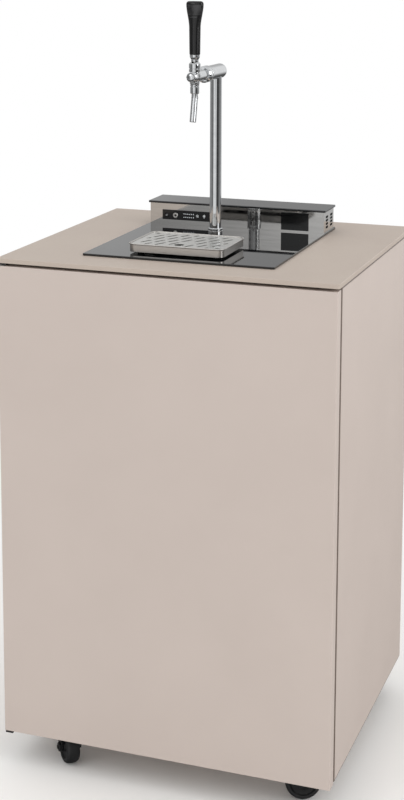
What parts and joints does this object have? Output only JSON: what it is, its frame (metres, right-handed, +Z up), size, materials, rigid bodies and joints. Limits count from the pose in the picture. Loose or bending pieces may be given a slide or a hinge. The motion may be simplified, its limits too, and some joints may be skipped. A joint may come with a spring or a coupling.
{
  "type": "draft beer dispenser",
  "caption": "Wheeled bar cabinet with a full-height door, a drop-in beer cooler, a glass-topped control box, a chrome column tap with a tilting handle and a lift-out drip tray.",
  "frame": {"origin": "on the floor under the middle of the counter", "axes": "+Z up, -Y towards the door and the tap, +X to the right of someone facing the door"},
  "size_m": [0.6, 0.54, 1.3464],
  "materials": {
    "laminate": "matt beige laminate",
    "dark_laminate": "matt dark brown",
    "white_plastic": "satin",
    "black_steel": "black powder coat",
    "zinc_steel": "galvanised sheet",
    "steel": "brushed stainless",
    "chrome": "polished",
    "black_glass": "black, polished",
    "black_plastic": "gloss",
    "wheel_rubber": "matt black",
    "rubber": "matt",
    "lamp": "clear white",
    "board": "green lacquer",
    "aluminium": "cast",
    "foam": "foam"
  },
  "bodies": {
    "cabinet": {"counter_top": "laminate", "left_side_panel": "laminate", "right_side_panel": "laminate", "back_panel": "laminate", "base_board": "laminate", "front_rail": "dark_laminate", "hinge_leaves": "black_steel", "latch_body": "white_plastic", "caster_plates": "black_steel", "glass_plate": "black_glass", "box_shell": "chrome", "box_lid": "black_glass", "control_strip": "black_plastic", "lamps": "lamp", "control_board": "board", "badge_plate": "black_plastic", "cooler_casing": "zinc_steel", "cooler_base": "zinc_steel", "compressor": "black_steel", "compressor_feet": "rubber", "condenser": "aluminium", "fan_shroud": "black_plastic", "fan_motor": "black_steel", "cooling_block": "aluminium", "insulation": "foam", "beer_inlet": "steel", "beer_line": "white_plastic", "power_inlet": "black_plastic", "column_tube": "chrome", "column_base": "chrome", "column_nut": "steel", "column_head": "chrome", "shank_nut": "chrome", "tap_body": "chrome", "front_cap": "chrome", "collar_nut": "chrome", "nozzle": "chrome", "spout": "chrome"},
    "door": {"door_panel": "laminate", "hinge_bushes": "white_plastic"},
    "latch": {"latch_plunger": "white_plastic"},
    "power_key": {"power_button": "black_plastic"},
    "set_key": {"set_button": "black_plastic"},
    "fan": {"fan_rotor": "black_plastic"},
    "valve": {"valve_piston": "steel"},
    "handle": {"lever": "steel", "ferrule": "chrome", "tap_handle": "black_plastic"},
    "tray": {"drip_tray": "steel", "tray_feet": "rubber"},
    "grid": {"drip_grid": "steel"},
    "swivel_fl": {"fork_fl": "black_steel"},
    "roller_fl": {"wheel_fl": "wheel_rubber"},
    "swivel_fr": {"fork_fr": "black_steel"},
    "roller_fr": {"wheel_fr": "wheel_rubber"},
    "swivel_bl": {"fork_bl": "black_steel"},
    "roller_bl": {"wheel_bl": "wheel_rubber"},
    "swivel_br": {"fork_br": "black_steel"},
    "roller_br": {"wheel_br": "wheel_rubber"}
  },
  "joints": [
    {"name": "door_hinge", "type": "hinge", "parent": "cabinet", "child": "door", "pos_m": [-0.289, -0.262, 0.48], "axis": [0, 0, -1], "range_deg": [0, 110]},
    {"name": "latch_push", "type": "slide", "parent": "cabinet", "child": "latch", "axis": [0, 1, 0], "range_m": [0, 0.0025], "stiffness_N_per_m": 800},
    {"name": "power_press", "type": "slide", "parent": "cabinet", "child": "power_key", "axis": [0, 1, 0], "range_m": [0, 0.001], "stiffness_N_per_m": 1200},
    {"name": "set_press", "type": "slide", "parent": "cabinet", "child": "set_key", "axis": [0, 1, 0], "range_m": [0, 0.001], "stiffness_N_per_m": 1200},
    {"name": "fan_spin", "type": "hinge", "parent": "cabinet", "child": "fan", "pos_m": [0, 0.108, 0.7135], "axis": [0, 1, 0], "continuous": true},
    {"name": "handle_tilt", "type": "hinge", "parent": "cabinet", "child": "handle", "pos_m": [0, -0.107, 1.234], "axis": [1, 0, 0], "range_deg": [0, 30]},
    {"name": "valve_slide", "type": "slide", "parent": "cabinet", "child": "valve", "axis": [0, 1, 0], "range_m": [0, 0.0076]},
    {"name": "tray_lift", "type": "slide", "parent": "cabinet", "child": "tray", "axis": [0, 0, 1], "range_m": [0, 0.06]},
    {"name": "grid_lift", "type": "slide", "parent": "tray", "child": "grid", "axis": [0, 0, 1], "range_m": [0, 0.04]},
    {"name": "swivel_fl", "type": "hinge", "parent": "cabinet", "child": "swivel_fl", "pos_m": [-0.208, -0.208, 0.076], "axis": [0, 0, 1], "continuous": true},
    {"name": "roll_fl", "type": "hinge", "parent": "swivel_fl", "child": "roller_fl", "pos_m": [-0.1916, -0.22687, 0.031], "axis": [0.7547, 0.6561, 0], "continuous": true},
    {"name": "swivel_fr", "type": "hinge", "parent": "cabinet", "child": "swivel_fr", "pos_m": [0.208, -0.208, 0.076], "axis": [0, 0, 1], "continuous": true},
    {"name": "roll_fr", "type": "hinge", "parent": "swivel_fr", "child": "roller_fr", "pos_m": [0.23134, -0.19904, 0.031], "axis": [-0.3584, 0.9336, 0], "continuous": true},
    {"name": "swivel_bl", "type": "hinge", "parent": "cabinet", "child": "swivel_bl", "pos_m": [-0.208, 0.208, 0.076], "axis": [0, 0, 1], "continuous": true},
    {"name": "roll_bl", "type": "hinge", "parent": "swivel_bl", "child": "roller_bl", "pos_m": [-0.22965, 0.2205, 0.031], "axis": [-0.5, -0.866, 0], "continuous": true},
    {"name": "swivel_br", "type": "hinge", "parent": "cabinet", "child": "swivel_br", "pos_m": [0.208, 0.208, 0.076], "axis": [0, 0, 1], "continuous": true},
    {"name": "roll_br", "type": "hinge", "parent": "swivel_br", "child": "roller_br", "pos_m": [0.22848, 0.22234, 0.031], "axis": [-0.5736, 0.8192, 0], "continuous": true}
  ],
  "couplings": [
    {"joint": "valve_slide", "follows": "handle_tilt", "m_per_rad": 0.01432}
  ]
}
